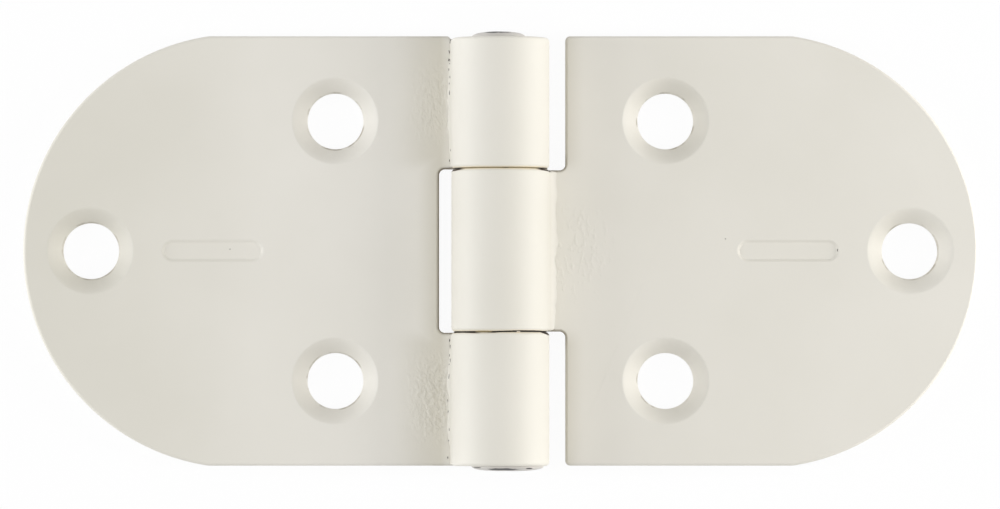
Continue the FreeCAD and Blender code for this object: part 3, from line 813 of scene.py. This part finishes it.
# old oil and rubbed paint packed in the two gaps between the knuckles, as thin ragged rings,
# whose dark parts also stand in for the shade deep in the gaps
grimeAndShade = {
    "bore": 2.06 * mm, "half": 0.02 * mm, "steps": 240, "ragged": 1.4 * mm,
    "upper": {"along": hinge["joint"], "rim": 3.95 * mm, "wander": 0.03 * mm},
    "lower": {"along": -hinge["joint"], "rim": 3.86 * mm, "wander": 0.14 * mm},
    "fills": [(hinge["drop"], 0.15 * mm, 4.06 * mm),  # across, half length and rim
              (hinge["gold"], 0.5 * mm, 4.0 * mm)],
}


def grimeAndShadeRings():
    build = bmesh.new()
    half = grimeAndShade["half"]
    for gap in (grimeAndShade["upper"], grimeAndShade["lower"]):
        centre = Vector((0, gap["along"], hinge["pinHeight"]))
        loops = []
        for i in range(grimeAndShade["steps"]):
            turn = 2 * math.pi * i / grimeAndShade["steps"]
            out = Vector((math.cos(turn), 0, math.sin(turn)))
            seed = out * gap["rim"] / grimeAndShade["ragged"] + Vector((0, gap["along"] / mm, 0))
            rim = gap["rim"] + gap["wander"] * noise.noise(seed)
            for across, halfLength, full in grimeAndShade["fills"]:
                apart = abs(out.x * gap["rim"] - across)
                if gap["along"] < 0 and out.z > 0 and apart < halfLength:
                    rim = full
            section = ((grimeAndShade["bore"], -half), (rim - half, -half), (rim, -half / 2), (rim, half / 2),
                       (rim - half, half), (grimeAndShade["bore"], half))
            loops.append([build.verts.new(centre + out * radius + Vector((0, aside, 0)))
                          for radius, aside in section])
        for one, two in zip(loops, loops[1:] + loops[:1]):
            for k in range(len(one)):
                n = (k + 1) % len(one)
                build.faces.new((one[k], one[n], two[n], two[k]))
    bmesh.ops.recalc_face_normals(build, faces=build.faces)
    mesh = bpy.data.meshes.new("knuckle_gap_grime")
    build.to_mesh(mesh)
    build.free()
    mesh.materials.append(gapGrimeAndShade)
    piece = link("knuckle_gap_grime", mesh)
    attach(piece, "fixed_leaf")
    print("knuckle_gap_grime", len(mesh.polygons), "faces")


grimeAndShadeRings()

# dark flecks along the seam, painted contact shadow where the bead meets the leaf, and a few
# specks: dust, and one of painted shadow in a recessed mark
fleck = {
    # across, first and last along the pin in millimetres, how many, and their share of full length
    "seam_flecks": [
        (-4.26, 17.3, 13.6, 9, 1.0), (-4.2, 7.95, 7.35, 2, 1.0), (-4.24, -7.9, -10.3, 6, 1.0),
        (-4.4, -12.4, -13.8, 3, 1.0), (-4.34, -15.0, -17.3, 3, 1.0), (-22.65, 0.0, 0.0, 1, 0.3)],
    # the first speck is painted shadow at the foot of the recessed mark's right end, the second is dust
    "dust_specks": [(28.2, -0.18, -0.18, 1, 0.7), (18.9, 1.15, 1.15, 1, 0.3)],
    "above": 9 * mm,  # dropped from here on to the paint
    "stray": (0.15, 1.0, 0.0),  # most of it along the pin
    "turn": 0.25,  # radians, either way
    "turnSeed": 23,
    "grain": (8, 5),  # sides and rings
    "sizes": {"Width": 0.036 * mm, "Shortest": 0.06 * mm, "Longest": 0.26 * mm,
              "Astray": 0.45 * mm, "Seed": 6},
}


def fleckTree():
    tree, given = newTree("seam_flecks", [
        ("Geometry", "Geometry"), ("Leaf", "Object"), ("Bead", "Object"), ("Width", "Float"),
        ("Shortest", "Float"), ("Longest", "Float"), ("Astray", "Float"), ("Seed", "Int"),
        ("Material", "Material")])
    ground = addNode(tree, "GeometryNodeJoinGeometry")
    for name in ("Leaf", "Bead"):
        source = addNode(tree, "GeometryNodeObjectInfo", None, {"Object": given[name]})
        feed(tree, ground, {0: source.outputs["Geometry"]})
    stray = addNode(tree, "FunctionNodeRandomValue", {"data_type": "FLOAT_VECTOR"},
                    {0: -Vector(fleck["stray"]), 1: fleck["stray"], "Seed": given["Seed"]})
    shift = addNode(tree, "ShaderNodeVectorMath", {"operation": "SCALE"},
                    {0: stray, "Scale": given["Astray"]})
    strewn = addNode(tree, "GeometryNodeSetPosition", None,
                     {"Geometry": given["Geometry"], "Offset": shift})
    drop = addNode(tree, "GeometryNodeRaycast", None,
                   {"Target Geometry": ground, "Ray Direction": (0, 0, -1)})
    laid = addNode(tree, "GeometryNodeSetPosition", None,
                   {"Geometry": strewn, "Position": drop.outputs["Hit Position"]})
    grain = addNode(tree, "GeometryNodeMeshUVSphere", None,
                    {"Segments": fleck["grain"][0], "Rings": fleck["grain"][1], "Radius": 1.0})
    length = addNode(tree, "FunctionNodeRandomValue", {"data_type": "FLOAT"},
                     {2: given["Shortest"], 3: given["Longest"], "Seed": given["Seed"]})
    grade = addNode(tree, "GeometryNodeInputNamedAttribute", {"data_type": "FLOAT"}, {"Name": "grade"})
    graded = addNode(tree, "ShaderNodeMath", {"operation": "MULTIPLY"}, {0: length, 1: grade})
    size = addNode(tree, "ShaderNodeCombineXYZ", None,
                   {"X": given["Width"], "Y": graded, "Z": given["Width"]})
    turn = addNode(tree, "FunctionNodeRandomValue", {"data_type": "FLOAT"},
                   {2: -fleck["turn"], 3: fleck["turn"], "Seed": fleck["turnSeed"]})
    spin = addNode(tree, "ShaderNodeCombineXYZ", None, {"Z": turn})
    flecks = addNode(tree, "GeometryNodeInstanceOnPoints", None,
                     {"Points": laid, "Instance": grain, "Scale": size, "Rotation": spin})
    closeTree(tree, flecks, given["Material"])
    return tree


def strew(name, tree, leafPiece, beadName, body):
    points = []
    grades = []
    for across, first, last, count, share in fleck[name]:
        for i in range(count):
            along = first + (last - first) * i / max(1, count - 1)
            points.append((across * mm, along * mm, fleck["above"]))
            grades.append(share)
    mesh = bpy.data.meshes.new(name)
    mesh.from_pydata(points, [], [])
    mesh.attributes.new("grade", "FLOAT", "POINT").data.foreach_set("value", grades)
    piece = link(name, mesh)
    grow(piece, tree, {**fleck["sizes"], "Leaf": leafPiece, "Bead": bpy.data.objects[beadName],
                       "Material": gapGrimeAndShade})
    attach(piece, body)
    print(name, len(piece.data.polygons), "faces")


darkFlecks = fleckTree()
strew("seam_flecks", darkFlecks, twoKnuckle, "two_knuckle_leaf_paint_bead", "fixed_leaf")
strew("dust_specks", darkFlecks, oneKnuckle, "one_knuckle_leaf_paint_bead", "swinging_leaf")


# 1 on the rays that show the surroundings: straight to the camera, mirrored or through glass
def seenRays(tree):
    rays = addNode(tree, "ShaderNodeLightPath").outputs
    seen = rays["Is Camera Ray"]
    for kind in ("Is Glossy Ray", "Is Transmission Ray"):
        seen = addNode(tree, "ShaderNodeMath", {"operation": "MAXIMUM"}, {0: seen, 1: rays[kind]})
    return rays, seen


# white sheet under the hinge: white to the eye, with a soft trace of shadow
sheet = {"size": 3.0, "drop": 0.05 * mm, "shade": 0.06, "colour": "#F4F4F4"}
build = bmesh.new()
bmesh.ops.create_grid(build, x_segments=1, y_segments=1, size=sheet["size"] / 2)
mesh = bpy.data.meshes.new("white_sheet")
build.to_mesh(mesh)
build.free()
floor = link("white_sheet", mesh)
floor.location.z = -sheet["drop"]
paper = bpy.data.materials.new("white_paper")
paper.use_nodes = True
tree = paper.node_tree
tree.nodes.clear()
rays, seen = seenRays(tree)
white = addNode(tree, "ShaderNodeBsdfDiffuse", None, {"Color": linear(sheet["colour"])})
clear = addNode(tree, "ShaderNodeBsdfTransparent")
veil = addNode(tree, "ShaderNodeMixShader", None, {0: sheet["shade"], 1: clear, 2: white})
toEye = addNode(tree, "ShaderNodeMixShader", None, {0: seen, 1: white, 2: veil})
passing = addNode(tree, "ShaderNodeMixShader", None, {0: rays["Is Shadow Ray"], 1: toEye, 2: clear})
addNode(tree, "ShaderNodeOutputMaterial", None, {"Surface": passing})
mesh.materials.append(paper)

# even white room, with a broad soft box overhead and a low one at each side along the pin
room = {"fill": 0.515, "white": 1.0}
softBoxes = {
    "left": {"from": 180.0, "away": 0.90, "lift": 6.2, "height": 0.14, "length": 1.10,
             "power": 7.4, "colour": "#FBFCFF"},
    "right": {"from": 0.0, "away": 0.45, "lift": 5.3, "height": 0.065, "length": 0.55,
              "power": 2.2, "colour": "#FFFDFA"},
    "overhead": {"from": 270.0, "away": 1.0, "lift": 85.0, "height": 0.8, "length": 0.8,
                 "power": 2.4, "colour": "#FFFFFF"},
}
world = bpy.data.worlds.new("white_room")
bpy.context.scene.world = world
world.use_nodes = True
tree = world.node_tree
seen = seenRays(tree)[1]
level = addNode(tree, "ShaderNodeMapRange", None,
                {"Value": seen, "To Min": room["fill"], "To Max": room["white"]})
background = next(node for node in tree.nodes if node.type == "BACKGROUND")
feed(tree, background, {"Color": (1, 1, 1, 1), "Strength": level})
middle = Vector((0, 0, hinge["pinHeight"]))
for name, box in softBoxes.items():
    lamp = bpy.data.lights.new(name + "_soft_box", "AREA")
    lamp.shape = "RECTANGLE"
    lamp.size = box["length"]
    lamp.size_y = box["height"]
    lamp.energy = box["power"]
    lamp.color = linear(box["colour"])[:3]
    holder = link(name + "_soft_box", lamp)
    turn, lift = math.radians(box["from"]), math.radians(box["lift"])
    outwards = Vector((math.cos(turn) * math.cos(lift), math.sin(turn) * math.cos(lift),
                       math.sin(lift)))
    holder.location = middle + outwards * box["away"]
    holder.rotation_euler = (-outwards).to_track_quat("-Z", "X").to_euler()

# straight down on the front, a little below the middle of the pin
shot = {
    "from": Vector((-0.03, -12.6, 642.0)) * mm,
    "at": Vector((-0.03, -0.31, 2.05)) * mm,
    "lens": 275.0,
    "sensor": 36.0,
    "clip": (0.01, 20),
}
camera = bpy.data.cameras.new("camera")
camera.lens = shot["lens"]
camera.sensor_width = shot["sensor"]
camera.clip_start, camera.clip_end = shot["clip"]
holder = link("camera", camera)
holder.location = shot["from"]
holder.rotation_euler = (shot["at"] - shot["from"]).to_track_quat("-Z", "Y").to_euler()
bpy.context.scene.camera = holder
bpy.context.scene.view_settings.view_transform = "Standard"
print("room and camera ready")
